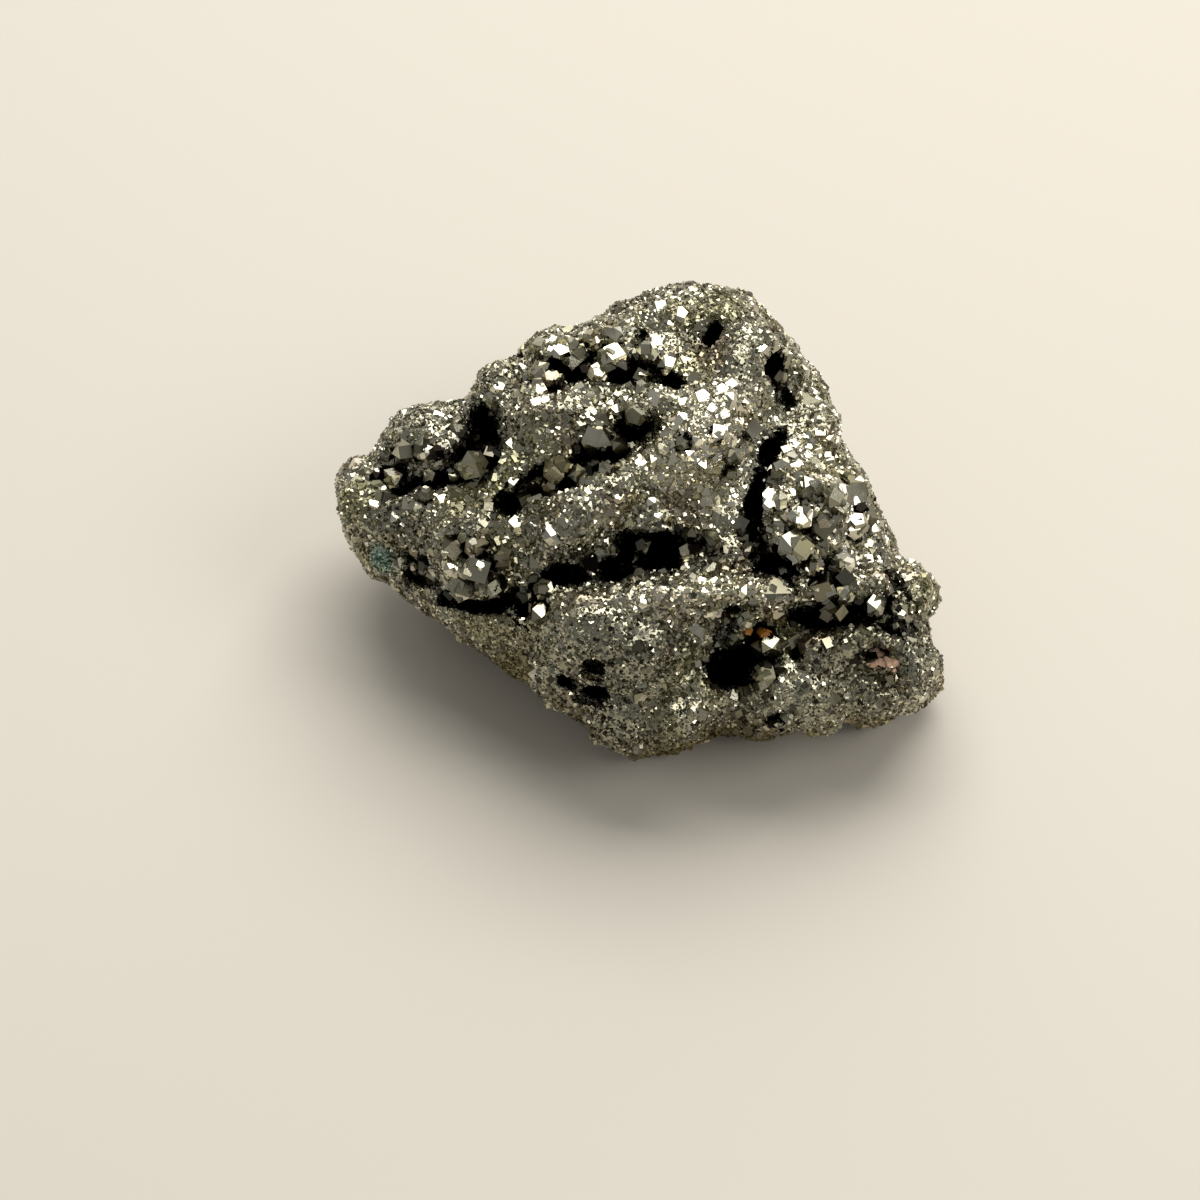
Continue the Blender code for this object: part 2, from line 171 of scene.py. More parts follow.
# The body: dense pyrite, grown together, that everything else grew on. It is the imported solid, whose
# larger crystals keep their flat faces. The ore between them is rounded, uneven and set a little lower,
# and lower still inside the vugs, to leave room for the crystals that line them.
CRYSTAL_ANGLES = np.radians((90.0, 54.7356, 53.1301, 66.4218))
ANGLE_MATCH = math.radians(0.4)
CRYSTAL_SHARE = 0.25
LONGEST_EDGE = 0.72 * MM
ROUNDING_STEPS = 4
ORE_DEPTH = 0.10
VUG_DEPTH = 0.9
BODY_SEED, WALL_SEED, FAR_SEED = 7, 17, 27
# Under this height the body is its flat broken base; all other crystals stay over it
GROUND_GAP = 0.05 * MM
# Uneven growth: wavelength and height of each kind of unevenness, in millimetres
BODY_WAVES = ((5.0, 0.24), (2.4, 0.14), (1.3, 0.06))
# The same on the far side, which the photograph doesn't show: it has knobs and dents of its own
FAR_WAVES = ((7.0, 0.7), (3.2, 0.4))
# Clefts and notches, and ridges and knobs, of the show side, read off the photograph: each
# row has a half width and a depth or height in millimetres, and its line's corners in pixels
CLEFT_STEEPNESS = 1.7
CLEFTS = ((0.9, 1.8, (775, 440), (766, 455)), (0.7, 1.6, (766, 455), (755, 478)),
          (0.9, 2.0, (755, 478), (748, 505)), (0.8, 1.8, (748, 505), (750, 535)),
          (0.9, 2.0, (750, 535), (752, 560)), (1.1, 2.0, (752, 560), (762, 582)),
          (1.2, 2.0, (752, 576), (776, 590)), (2.5, 4.0, (489, 427), (487, 445), (476, 465)),
          (1.6, 2.5, (474, 456), (459, 473)), (1.1, 1.8, (478, 480), (440, 484), (405, 493)),
          (1.0, 1.3, (566, 676), (592, 687)), (0.9, 1.2, (585, 669), (602, 674)),
          (0.8, 1.1, (578, 693), (598, 696)), (1.3, 2.0, (620, 541), (664, 550)),
          (1.2, 2.0, (635, 561), (663, 574)), (1.6, 2.0, (709, 667), (749, 641)),
          (1.2, 1.6, (742, 637), (760, 657)), (0.9, 1.3, (420, 460), (455, 463)),
          (1.1, 1.6, (630, 425), (620, 443)), (1.4, 2.0, (602, 461), (575, 477)),
          (1.1, 1.8, (545, 480), (526, 490), (518, 515)), (1.1, 1.6, (572, 372), (600, 381), (618, 372)),
          (1.3, 2.0, (640, 378), (672, 392)), (1.0, 1.5, (552, 399), (574, 392)),
          (0.9, 1.4, (640, 345), (637, 370)), (1.1, 1.8, (416, 574), (442, 583)),
          (1.1, 2.0, (450, 598), (485, 606), (512, 600)), (0.9, 1.5, (538, 592), (545, 606)),
          (0.6, 0.8, (560, 584), (602, 580)), (1.0, 1.6, (785, 613), (830, 613), (872, 608)),
          (0.8, 1.4, (876, 600), (882, 632)), (1.3, 2.0, (738, 605), (722, 622), (712, 645)),
          (1.3, 1.8, (770, 365), (772, 392), (782, 406)), (1.3, 1.2, (366, 456), (396, 482)),
          (1.0, 1.0, (453, 404), (470, 425)), (0.9, 0.9, (474, 384), (490, 402)),
          (0.9, 0.9, (519, 352), (530, 372)), (0.9, 0.9, (565, 320), (572, 340)),
          (0.8, 0.7, (600, 308), (604, 322)), (0.9, 0.9, (637, 292), (645, 310)),
          (0.7, 0.7, (679, 273), (672, 292)), (0.8, 0.8, (850, 465), (835, 470)),
          (0.8, 0.8, (897, 600), (885, 585)), (2.6, 0.9, (868, 664), (872, 668)),
          (1.0, 0.9, (700, 606), (745, 600)), (1.6, 0.6, (650, 700), (655, 765)))
RIDGES = ((1.7, 2.2, (631, 421), (640, 417)),
          (3.4, 0.8, (545, 545), (600, 507), (660, 458), (705, 412), (745, 350)),
          (1.6, 0.6, (560, 597), (640, 600), (720, 590), (790, 590), (850, 594)),
          (1.4, 0.5, (775, 642), (770, 700)), (3.4, 0.7, (400, 425), (430, 425)),
          (3.0, 0.5, (350, 495), (345, 530)), (5.0, 0.6, (590, 640), (640, 640)),
          (1.4, 0.6, (835, 642), (870, 634), (905, 655), (902, 692), (860, 700)),
          (2.6, 0.5, (525, 425), (555, 445), (550, 465)), (3.2, 0.5, (430, 515), (470, 530)),
          (2.6, 0.5, (540, 345), (550, 350)), (2.4, 0.5, (495, 375), (505, 380)),
          (3.0, 0.4, (700, 295), (750, 320)), (2.4, 0.4, (845, 430), (850, 445)),
          (2.0, 0.4, (880, 500), (885, 520)))
# How a triangle splits when none, one, two or three of its sides do: corners 0 to 2, middles 3 to 5
SPLITS = (((0, 1, 2),), ((0, 3, 2), (3, 1, 2)), ((0, 3, 2), (3, 1, 4), (3, 4, 2)),
          ((0, 3, 5), (3, 1, 4), (5, 4, 2), (3, 4, 5)))
# Looks outwards from each place, to tell how open it is, how far they go and how far out they start
LOOKS = 20
LOOK_REACH = 12.0 * MM
LOOK_START = 0.2 * MM
WALL_WAVES = ((3.2, 0.8), (1.5, 0.45))
# Shares as sloped() takes them: of a stroke, by how much the surface faces the eye; of the far side's
# waves, by the same; and of a vug's depth, by how open the place is
STROKE_SHARE = (0.6, 2.0)
FAR_SHARE = (0.4, -2.0)
VUG_SHARE = (1.15, -1.6)
# Random values behind the noise, the steps through them along each axis, and a start clear of zero
NOISE_VALUES = 8192
NOISE_STRIDES = (73, 1009, 3767)
NOISE_START = 500.0


def is_crystal_face(face):
    """A face belongs to a crystal where enough of its rim meets the next face at a crystal's angle."""
    matched, total = 0.0, 0.0
    for edge in face.edges:
        angle = edge.calc_face_angle_signed(0.0)
        total += edge.calc_length()
        if np.abs(angle - CRYSTAL_ANGLES).min() < ANGLE_MATCH:
            matched += edge.calc_length()
    return matched > CRYSTAL_SHARE * total


def flat_plates(faces):
    """Numbers the crystals' flat faces, so that triangles in one plane share a number; -1 elsewhere."""
    numbers, crystals = np.full(len(faces), -1), []
    for first in faces:
        if numbers[first.index] >= 0:
            continue
        plate = [first]
        numbers[first.index] = len(crystals)
        for face in plate:
            for edge in face.edges:
                if abs(edge.calc_face_angle_signed(1.0)) < ANGLE_MATCH:
                    near = [other for other in edge.link_faces if numbers[other.index] < 0]
                    numbers[[other.index for other in near]] = len(crystals)
                    plate.extend(near)
        crystals.append(any(is_crystal_face(face) for face in plate))
    return np.where(np.array(crystals)[numbers], numbers, -1)


def refined(points, triangles, labels, longest):
    """Splits every side longer than the limit at its middle until none is left; each triangle beside
    it splits into two, three or four by the number of its split sides, and hands on its label."""
    while True:
        sides = np.sort(triangles[:, [0, 1, 1, 2, 2, 0]].reshape(-1, 2), axis=1)
        edges, which = np.unique(sides, axis=0, return_inverse=True)
        long = np.linalg.norm(points[edges[:, 0]] - points[edges[:, 1]], axis=1) > longest
        if not long.any():
            return points, triangles, labels
        middles = np.full(len(edges), -1)
        middles[long] = len(points) + np.arange(long.sum())
        points = np.vstack([points, points[edges[long]].mean(axis=1)])
        split = middles[which.reshape(-1, 3)]
        number = (split >= 0).sum(axis=1)
        turn = np.where(number == 2, np.argmin(split, axis=1) + 1, np.argmax(split, axis=1))
        order = (turn[:, None] + np.arange(3)) % 3
        table = np.hstack([np.take_along_axis(triangles, order, 1), np.take_along_axis(split, order, 1)])
        parts = [(table[number == k][:, corners], labels[number == k])
                 for k, pieces in enumerate(SPLITS) for corners in pieces]
        triangles = np.vstack([part for part, _ in parts])
        labels = np.concatenate([label for _, label in parts])


def value_noise(points, wavelength, seed):
    """Smooth random values from -1 to 1: random values on a cubic grid of that wavelength, blended
    between the eight grid corners around each point."""
    grid = points / wavelength + NOISE_START
    cell = np.floor(grid).astype(np.int64)
    part = grid - cell
    part = part * part * (3 - 2 * part)
    values = np.random.default_rng(seed).uniform(-1, 1, NOISE_VALUES)
    total = np.zeros(len(points))
    for corner in np.ndindex(2, 2, 2):
        at = cell + corner
        random = values[at @ np.array(NOISE_STRIDES) % NOISE_VALUES]
        total += random * np.prod(np.where(np.array(corner) == 1, part, 1 - part), axis=1)
    return total


def waves(points, rows, seed):
    """The sum of several patterns of noise, each with its own wavelength and height in millimetres."""
    return sum(height * value_noise(points, wave * MM, seed + i) for i, (wave, height) in enumerate(rows))


def sloped(values, at_zero, slope):
    """A share that changes steadily with a value: at_zero plus slope times the value, kept in 0 to 1."""
    return np.clip(at_zero + slope * values, 0, 1)


def unit(vectors):
    """The same directions at length one."""
    return vectors / np.maximum(np.linalg.norm(vectors, axis=-1, keepdims=True), 1e-15)


def vertex_normals(points, triangles):
    """Outward unit normals: the sum of the normals of each vertex's triangles, weighted by area."""
    a, b, c = points[triangles].transpose(1, 0, 2)
    normals = np.cross(b - a, c - a)
    total = np.zeros_like(points)
    for i in range(3):
        np.add.at(total, triangles[:, i], normals)
    return unit(total)


def rounded(points, triangles, held):
    """Moves each free vertex half the way to the middle of its neighbours, a few times over."""
    ends = np.unique(np.sort(triangles[:, [0, 1, 1, 2, 2, 0]].reshape(-1, 2), axis=1), axis=0)
    neighbours = np.bincount(ends.ravel(), minlength=len(points))[:, None]
    for _ in range(ROUNDING_STEPS):
        total = np.zeros_like(points)
        np.add.at(total, ends[:, 0], points[ends[:, 1]])
        np.add.at(total, ends[:, 1], points[ends[:, 0]])
        points = np.where(held[:, None], points, (points + total / neighbours) / 2)
    return points


def stroked(points, normals, rows, steepness=1.0):
    """What each point gets from strokes on the show side: a stroke's full height on its line, falling
    smoothly to nothing at its half width, over less of it with a steepness above 1, and nothing on
    surfaces that face away from the eye."""
    views = (points - np.array(MIDDLE)) / MM
    places = np.stack([views @ np.array(ACROSS), views @ np.array(UP)], axis=1)
    total = np.zeros(len(points))
    for width, height, *line in rows:
        corners = [np.array(from_photo(x, y)) for x, y in line]
        for start, end in zip(corners, corners[1:]):
            run = end - start
            along = np.clip((places - start) @ run / (run @ run), 0, 1)
            away = np.linalg.norm(places - start - along[:, None] * run, axis=1) / width
            share = np.clip(steepness * (1 - away), 0, 1)
            total = np.maximum(total, height * share * share * (3 - 2 * share))
    return total * sloped(normals @ np.array(TOWARD), *STROKE_SHARE)


def openness(tree, points, normals):
    """The mean of how far looks outwards go, as a share of their reach. They go out in a spiral over
    the half sphere above each point, most of them near its normal."""
    steps = (np.arange(LOOKS) + 0.5) / LOOKS
    rises, runs = np.sqrt(1 - steps), np.sqrt(steps)
    turns = np.arange(LOOKS) * math.pi * (3 - math.sqrt(5))
    helper = np.where(np.abs(normals[:, 2:]) < 0.9, [[0.0, 0.0, 1.0]], [[1.0, 0.0, 0.0]])
    side = unit(np.cross(helper, normals))
    other = np.cross(normals, side)
    starts = (points + normals * LOOK_START).tolist()
    clear = np.zeros(len(points))
    for rise, run, turn in zip(rises, runs, turns):
        ways = (normals * rise + side * run * math.cos(turn) + other * run * math.sin(turn)).tolist()
        hits = [tree.ray_cast(start, way, LOOK_REACH)[3] for start, way in zip(starts, ways)]
        clear += [1.0 if distance is None else distance / LOOK_REACH for distance in hits]
    return clear / LOOKS


def mesh_object(name, points, triangles, material, **values):
    """An object of flat triangles. Each keyword stores one number per triangle for the material."""
    mesh = bpy.data.meshes.new(name)
    mesh.vertices.add(len(points))
    mesh.vertices.foreach_set("co", np.asarray(points, np.float32).ravel())
    mesh.loops.add(triangles.size)
    mesh.loops.foreach_set("vertex_index", triangles.ravel().astype(np.int32))
    mesh.polygons.add(len(triangles))
    mesh.polygons.foreach_set("loop_start", np.arange(0, triangles.size, 3, dtype=np.int32))
    mesh.update(calc_edges=True)
    mesh.shade_flat()
    for key, numbers in values.items():
        mesh.attributes.new(key, "FLOAT", "FACE").data.foreach_set("value", numbers.astype(np.float32))
    mesh.materials.append(material)
    return new_object(name, mesh)


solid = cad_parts["pyrite_cluster"]
bm = bmesh.new()
bm.from_mesh(solid.data)
bmesh.ops.remove_doubles(bm, verts=bm.verts, dist=1e-7)
bm.verts.index_update()
bm.faces.index_update()
body_points = np.array([vert.co for vert in bm.verts])
body_triangles = np.array([[vert.index for vert in face.verts] for face in bm.faces])
body_plates = flat_plates(list(bm.faces))
bm.free()
body_points, body_triangles, body_plates = refined(body_points, body_triangles, body_plates, LONGEST_EDGE)
on_crystal = body_plates >= 0
held = body_points[:, 2] < GROUND_GAP
held[body_triangles[on_crystal]] = True
body_points = rounded(body_points, body_triangles, held)
body_normals = vertex_normals(body_points, body_triangles)
body_tree = BVHTree.FromPolygons(body_points.tolist(), body_triangles.tolist())
point_open = openness(body_tree, body_points, body_normals)
lift = stroked(body_points, body_normals, RIDGES) - ORE_DEPTH
lift += waves(body_points, BODY_WAVES, BODY_SEED)
far_side = sloped(body_normals @ np.array(TOWARD), *FAR_SHARE)
lift += far_side * waves(body_points, FAR_WAVES, FAR_SEED)
lift += sloped(point_open, *VUG_SHARE) * (waves(body_points, WALL_WAVES, WALL_SEED) - VUG_DEPTH)
cut = stroked(body_points, body_normals, CLEFTS, CLEFT_STEEPNESS)
moves = body_normals * lift[:, None] - np.array(TOWARD) * cut[:, None]
body_points += np.where(held[:, None], 0.0, moves) * MM
body_points[:, 2] = np.maximum(body_points[:, 2], 0.0)
body_normals = vertex_normals(body_points, body_triangles)
body_tree = BVHTree.FromPolygons(body_points.tolist(), body_triangles.tolist())
body_open = openness(body_tree, body_points, body_normals)[body_triangles].mean(axis=1)

# Tarnished pyrite: iron sulphide, a pale brass metal that has dulled to grey and olive in air. Fresh
# faces give sharp cream glints; dulled ones are mid grey; closed-in places are painted nearly black, a
# painted shade over the shade that the light itself gives.
DULL_TONES = ((0.0, "34322a"), (0.35, "85826f"), (0.7, "bcb9a6"), (1.0, "f0ead6"))
DULL_ROUGHNESS, FRESH_ROUGHNESS = 0.36, 0.10
# Painted shade of closed-in places: its colour, the openness at which it is full and that at which it has
# faded out
PAINTED_SHADE_COLOR = "120e0b"
SHADE_FULL_AT, SHADE_GONE_AT = 0.32, 0.95
# Olive and brown tarnish: colour, size of a patch, detail, and where it starts and is full in the noise
PATCHES = (("8f8a5c", 9.0 * MM, 2.0, 0.45, 0.75), ("7c6a52", 5.0 * MM, 3.0, 0.5, 0.7))
PATCH_STRENGTH = 0.5
# Painted shade: the lump's foot, turned away from the light, is darker and browner from this height down
FOOT_SHADE = "74643a"
FOOT_SHADE_HEIGHT = 15.0 * MM
FOOT_SHADE_STRENGTH = 0.8
GROWTH_STEP = 0.25 * MM
GROWTH_DETAIL = 2.0
GROWTH_HEIGHT = 0.012 * MM
# Stains on the show side: u, v, radius in mm, colour, strength, which is full in this inner share
STAINS = ((-27.0, -3.8, 2.5, "6fa39b", 0.5), (12.7, -12.0, 1.5, "b8782c", 0.8))
STAIN_CORE = 0.2
# Tones run from 0, dull and dark, to 1, fresh and pale: those of the solid's crystals, and the ore's
PLATE_TONES = (0.25, 0.85)
ORE_TONE = 0.5
# Looks at the show side start this far in front of the lump's middle, in millimetres
LOOK_FROM = 60.0


def surface_point(u, v):
    """The place that the eye meets on the show side, as seen from straight in front of it, and the
    outward direction there."""
    place, normal, _, _ = body_tree.ray_cast(show_point(u, v, LOOK_FROM), -TOWARD)
    return place, normal


def blend(tree, share, below, above, kind="MIX"):
    """A colour mixed from two others; the share is the upper one's."""
    return node(tree, "Mix", {0: share, 6: below, 7: above}, data_type="RGBA", blend_type=kind).outputs[2]


def mapped(tree, value, low, high, out_low=0.0, out_high=1.0):
    """A value's range turned smoothly into another."""
    return node(tree, "MapRange", {"Value": value, "From Min": low, "From Max": high, "To Min": out_low,
                                   "To Max": out_high}, interpolation_type="SMOOTHSTEP").outputs["Result"]


def noise(tree, coords, wavelength, detail):
    """A smooth random pattern from 0 to 1, as fine as its wavelength in metres."""
    values = {"Vector": coords, "Scale": 1 / wavelength, "Detail": detail}
    return node(tree, "TexNoise", values).outputs["Fac"]


def tarnished_pyrite(name):
    """Colour and roughness from the crystal's own tone, which carries painted light and shade, stained in
    patches, with painted shade at the foot and where the place is closed in; a low relief of growth steps."""
    material, tree, shader = new_material(name)
    coords = node(tree, "TexCoord").outputs["Object"]
    tone = node(tree, "Attribute", attribute_name="tone").outputs["Fac"]
    shade_openness = node(tree, "Attribute", attribute_name="open").outputs["Fac"]
    ramp = node(tree, "ValToRGB", {"Fac": tone})
    for _ in DULL_TONES[2:]:
        ramp.color_ramp.elements.new(0.5)
    for stop, (position, code) in zip(ramp.color_ramp.elements, DULL_TONES):
        stop.position = position
        stop.color = linear(code)
    color = ramp.outputs["Color"]
    for code, wavelength, detail, start, full in PATCHES:
        share = mapped(tree, noise(tree, coords, wavelength, detail), start, full, 0.0, PATCH_STRENGTH)
        color = blend(tree, share, color, linear(code))
    height = node(tree, "SeparateXYZ", {"Vector": coords}).outputs["Z"]
    # Painted shade: darker and browner towards the foot
    share = mapped(tree, height, FOOT_SHADE_HEIGHT, 0.0, 0.0, FOOT_SHADE_STRENGTH)
    color = blend(tree, share, color, linear(FOOT_SHADE))
    for u, v, radius, code, strength in STAINS:
        place = surface_point(u, v)[0]
        away = node(tree, "VectorMath", {0: coords, 1: place}, operation="DISTANCE").outputs["Value"]
        share = mapped(tree, away, radius * MM, STAIN_CORE * radius * MM, 0.0, strength)
        color = blend(tree, share, color, linear(code))
    # Painted shade: nearly black where the place is closed in
    color = blend(tree, mapped(tree, shade_openness, SHADE_FULL_AT, SHADE_GONE_AT), linear(PAINTED_SHADE_COLOR), color)
    steps = noise(tree, coords, GROWTH_STEP, GROWTH_DETAIL)
    bump = node(tree, "Bump", {"Height": steps, "Distance": GROWTH_HEIGHT, "Strength": 1.0})
    rough = mapped(tree, tone, 0.0, 1.0, DULL_ROUGHNESS, FRESH_ROUGHNESS)
    tree.links.new(color, shader.inputs["Base Color"])
    tree.links.new(rough, shader.inputs["Roughness"])
    tree.links.new(bump.outputs["Normal"], shader.inputs["Normal"])
    shader.inputs["Metallic"].default_value = 1.0
    return material


pyrite = tarnished_pyrite("tarnished_pyrite")
tone_rng = np.random.default_rng(BODY_SEED)
plate_tones = np.append(tone_rng.uniform(*PLATE_TONES, body_plates.max() + 1), ORE_TONE)
# open: how open each triangle's place is, which the material turns into painted shade where it is low
body = mesh_object("pyrite_body", body_points, body_triangles, pyrite, open=body_open,
                   tone=plate_tones[body_plates])

# The larger crystals: cubes, trimmed cubes and pentagon dodecahedra of pyrite, about 1 to 2 mm wide,
# that grew at all angles, close together in the coarse fields. Those listed one by one stand in
# their own places, the bright ones with a face turned to glint, the grey ones with one turned to the eye.
# Each row: x, y and the width of the visible face, read off the photograph, in its pixels
GLINTS = ((617, 363, 16), (564, 362, 11), (552, 347, 8), (553, 355, 9), (582, 380, 11), (596, 375, 8),
          (656, 348, 13), (658, 313, 11), (680, 320, 10), (668, 332, 8), (666, 372, 12), (637, 393, 9),
          (550, 390, 9), (539, 410, 10), (548, 408, 7), (523, 372, 9), (503, 395, 8), (665, 287, 8),
          (615, 417, 10), (696, 408, 12), (678, 412, 8), (716, 400, 10), (726, 395, 9), (739, 413, 7),
          (706, 456, 12), (757, 360, 9), (811, 395, 9), (815, 440, 9), (822, 444, 8), (811, 455, 8),
          (824, 463, 8), (802, 452, 7), (772, 491, 8), (760, 500, 12), (761, 511, 8), (783, 497, 9),
          (845, 523, 13), (843, 535, 11), (868, 532, 10), (850, 513, 9), (775, 549, 18), (752, 553, 9),
          (841, 558, 12), (882, 543, 9), (851, 483, 7), (442, 455, 8), (492, 460, 10), (354, 478, 8),
          (381, 473, 8), (447, 503, 10), (381, 508, 9), (401, 521, 8), (516, 487, 8), (520, 525, 11),
          (553, 490, 10), (555, 540, 13), (440, 574, 8), (457, 568, 12), (487, 567, 7), (684, 567, 8),
          (646, 617, 9), (640, 602, 8), (708, 614, 11), (694, 659, 9), (680, 680, 8), (700, 698, 6),
          (618, 505, 8), (640, 470, 9), (612, 480, 7), (588, 497, 8), (655, 520, 7), (690, 500, 8),
          (706, 420, 8), (860, 560, 8), (893, 560, 8))
GREYS = ((571, 345, 16), (580, 360, 16), (612, 342, 16), (645, 358, 15), (695, 335, 14), (540, 397, 16),
         (517, 393, 14), (543, 370, 12), (590, 325, 12), (634, 424, 20), (603, 425, 20), (718, 425, 13),
         (712, 445, 12), (700, 450, 12), (785, 462, 15), (787, 482, 18), (770, 472, 14), (808, 491, 15),
         (793, 508, 15), (820, 507, 19), (815, 518, 15), (802, 518, 10), (753, 518, 10), (805, 540, 18),
         (774, 572, 12), (462, 425, 18), (478, 415, 10), (470, 433, 12), (457, 448, 12), (430, 461, 10),
         (403, 493, 16), (459, 492, 11), (468, 487, 10), (518, 497, 10), (495, 497, 9), (515, 507, 14),
         (543, 495, 10), (490, 528, 13), (434, 568, 10), (474, 560, 9), (425, 562, 14), (460, 585, 19),
         (473, 575, 12), (590, 555, 13), (683, 552, 18), (660, 573, 15), (600, 577, 13), (640, 585, 10),
         (622, 600, 13), (730, 638, 10), (733, 677, 13), (832, 500, 13), (860, 545, 13), (828, 535, 12),
         (848, 505, 11), (800, 468, 12), (560, 425, 12), (545, 440, 10), (480, 545, 12), (505, 560, 12),
         (650, 395, 12), (700, 385, 10))
# How unevenly these are turned, and how much a grey one leans to the surface's own direction
GLINT_SPREAD, GREY_SPREAD = 0.05, 0.3
GREY_LEAN = 0.4
OWN_SUNK = 0.3
GLINT_TONE = 0.85
# Crystal forms one unit wide: how far a cube's faces and an octahedron's corners are from the middle, and
# how near and far a crowded crystal's cube faces, corner faces and pentagons may be
CUBE_REACH, OCTAHEDRON_REACH = 0.42, 0.62
CUBE_FACES, CORNER_FACES, PENTAGONS = (0.38, 0.52), (0.42, 0.56), (0.36, 0.54)
UNEQUAL_FORMS = 4
CUBE_SHARE = 0.2
FIELD_SEED = 11
FIELD_TRIES = 16000
FIELD_SIZES = (0.7, 1.8)
FIELD_STRETCH = 0.22
FIELD_GAP = 0.6
FIELD_SUNK = (0.2, 0.42)
FIELD_TONE, FIELD_TONE_SPREAD = 0.55, 0.18
FACE_TONE_SPREAD = 0.05
# How many of these stand outside the fields, and on the solid's own crystals, against the fields
OUTSIDE_SHARE = 0.015
ON_CRYSTAL_SHARE = 0.1
# Coarse fields on the show side: u, v, half width, half height in mm, turn in degrees, strength
COARSE_FIELDS = ((-4.0, 16.2, 8.0, 3.6, 2, 1.0), (17.6, -1.0, 6.4, 8.6, 10, 1.0),
                 (-21.0, 5.0, 7.0, 3.2, 8, 0.8), (-16.6, -5.4, 5.2, 3.2, -6, 0.9),
                 (-4.6, 6.4, 6.6, 2.6, 30, 0.4), (3.4, -4.6, 6.0, 3.0, 0, 0.3),
                 (10.4, -14.0, 4.4, 4.0, 0, 0.3), (22.6, -10.4, 6.6, 2.6, 8, 0.4),
                 (7.2, 6.0, 5.6, 4.6, 40, 0.6), (-10.6, -8.4, 3.0, 2.6, 0, 0.3))
# Fields of the show side where the crystals' tone is raised, paler and less rough, or lowered: painted
# light on the
# # upper ridge, the band and the top, which face the light, and painted shade on the low front and lower
# lobes;
# # given as the coarse fields
PAINTED_LIGHT_FIELDS = ((7.6, 7.0, 6.5, 7.0, -30, 0.58), (22.5, -14.0, 7.0, 5.0, 0, -0.22),
                (-1.0, 19.5, 7.0, 4.4, 0, 0.18), (7.6, -7.8, 13.0, 2.0, 0, 0.3),
                (3.6, -10.6, 4.6, 3.2, 0, 0.1), (18.6, 3.0, 6.0, 9.0, 0, 0.26),
                (1.0, -23.0, 12.0, 6.0, 0, -0.26), (-26.0, -4.0, 4.0, 5.0, 0, -0.2),
                (-14.0, -16.0, 9.0, 5.0, 0, -0.12), (0.0, -14.0, 7.0, 4.0, 0, -0.22))
# Elsewhere, the fields are where a slow random pattern is high
FIELD_WAVE = 9.0 * MM
# The show side is all that faces the eye by more than this cosine
SHOW_COSINE = 0.1
# Shares as sloped() takes them: of a field's strength, by the distance from its middle in half widths; of
# the far side's fields, by the pattern; and of crystals, by how open the place is
FIELD_EDGE = (1.6, -1.2)
PATTERN_SHARE = (-0.3, 3.0)
OPEN_SHARE = (-0.4, 3.0)


def grown_corners(planes, distances):
    """Corners of a crystal with flat faces in these directions that grew to these distances from its
    middle: the places where three of its planes meet inside all the others."""
    triples = np.array(list(itertools.combinations(range(len(planes)), 3)))
    triples = triples[np.abs(np.linalg.det(planes[triples])) > 1e-6]
    corners = np.linalg.solve(planes[triples], distances[triples][..., None])[..., 0]
    inside = (corners @ planes.T <= distances + 1e-9).all(axis=1)
    return np.unique(corners[inside].round(9), axis=0)


def habit_corners(rng):
    """Corners of the crystal forms, about one unit wide: cube, octahedron, then trimmed cubes and
    pentagon dodecahedra whose faces grew to unequal distances, as they do in a crowd."""
    signs = (-1, 1)
    cube = np.array([(x, y, z) for x in signs for y in signs for z in signs], float)
    axes = np.vstack([np.eye(3), -np.eye(3)])
    roofs = np.array([(0, 1, 2), (0, 1, -2), (0, -1, 2), (0, -1, -2)]) / math.sqrt(5)
    roofs = np.vstack([np.roll(roofs, i, axis=1) for i in range(3)])
    forms = [cube * CUBE_REACH, axes * OCTAHEDRON_REACH]
    for _ in range(UNEQUAL_FORMS):
        far = np.append(rng.uniform(*CUBE_FACES, len(axes)), rng.uniform(*CORNER_FACES, len(cube)))
        forms.append(grown_corners(np.vstack([axes, unit(cube)]), far))
    for _ in range(UNEQUAL_FORMS):
        forms.append(grown_corners(roofs, rng.uniform(*PENTAGONS, len(roofs))))
    return forms


def closed_form(corners):
    """The triangles of the closed form around a crystal's corners, outward, its largest face's normal
    and that face's width."""
    hull = bmesh.new()
    for corner in corners:
        hull.verts.new(corner)
    bmesh.ops.convex_hull(hull, input=hull.verts)
    hull.verts.index_update()
    faces = np.array([[vert.index for vert in face.verts] for face in hull.faces])
    hull.free()
    a, b, c = corners[faces].transpose(1, 0, 2)
    normals = np.cross(b - a, c - a)
    inward = np.einsum("ij,ij->i", normals, a) < 0
    faces[inward] = faces[inward][:, ::-1]
    normals[inward] *= -1
    areas = np.linalg.norm(normals, axis=1) / 2
    face_areas = (unit(normals) @ unit(normals).T > 0.9999) @ areas
    largest = np.argmax(face_areas)
    return corners, faces, unit(normals[largest]), math.sqrt(face_areas[largest])


def scattered(points, triangles, weights, number, rng):
    """Random places on a surface, more of them where the weights of its triangles are higher."""
    a, b, c = points[triangles].transpose(1, 0, 2)
    area = np.linalg.norm(np.cross(b - a, c - a), axis=1) * weights
    chosen = rng.choice(len(triangles), number, p=area / area.sum())
    r, s = rng.random((2, number, 1))
    over = r + s > 1
    r, s = np.where(over, 1 - r, r), np.where(over, 1 - s, s)
    return a[chosen] + r * (b - a)[chosen] + s * (c - a)[chosen], chosen


def search_tree(places):
    """A tree that finds the places near a point."""
    tree = KDTree(len(places))
    for i, place in enumerate(places.tolist()):
        tree.insert(place, i)
    tree.balance()
    return tree


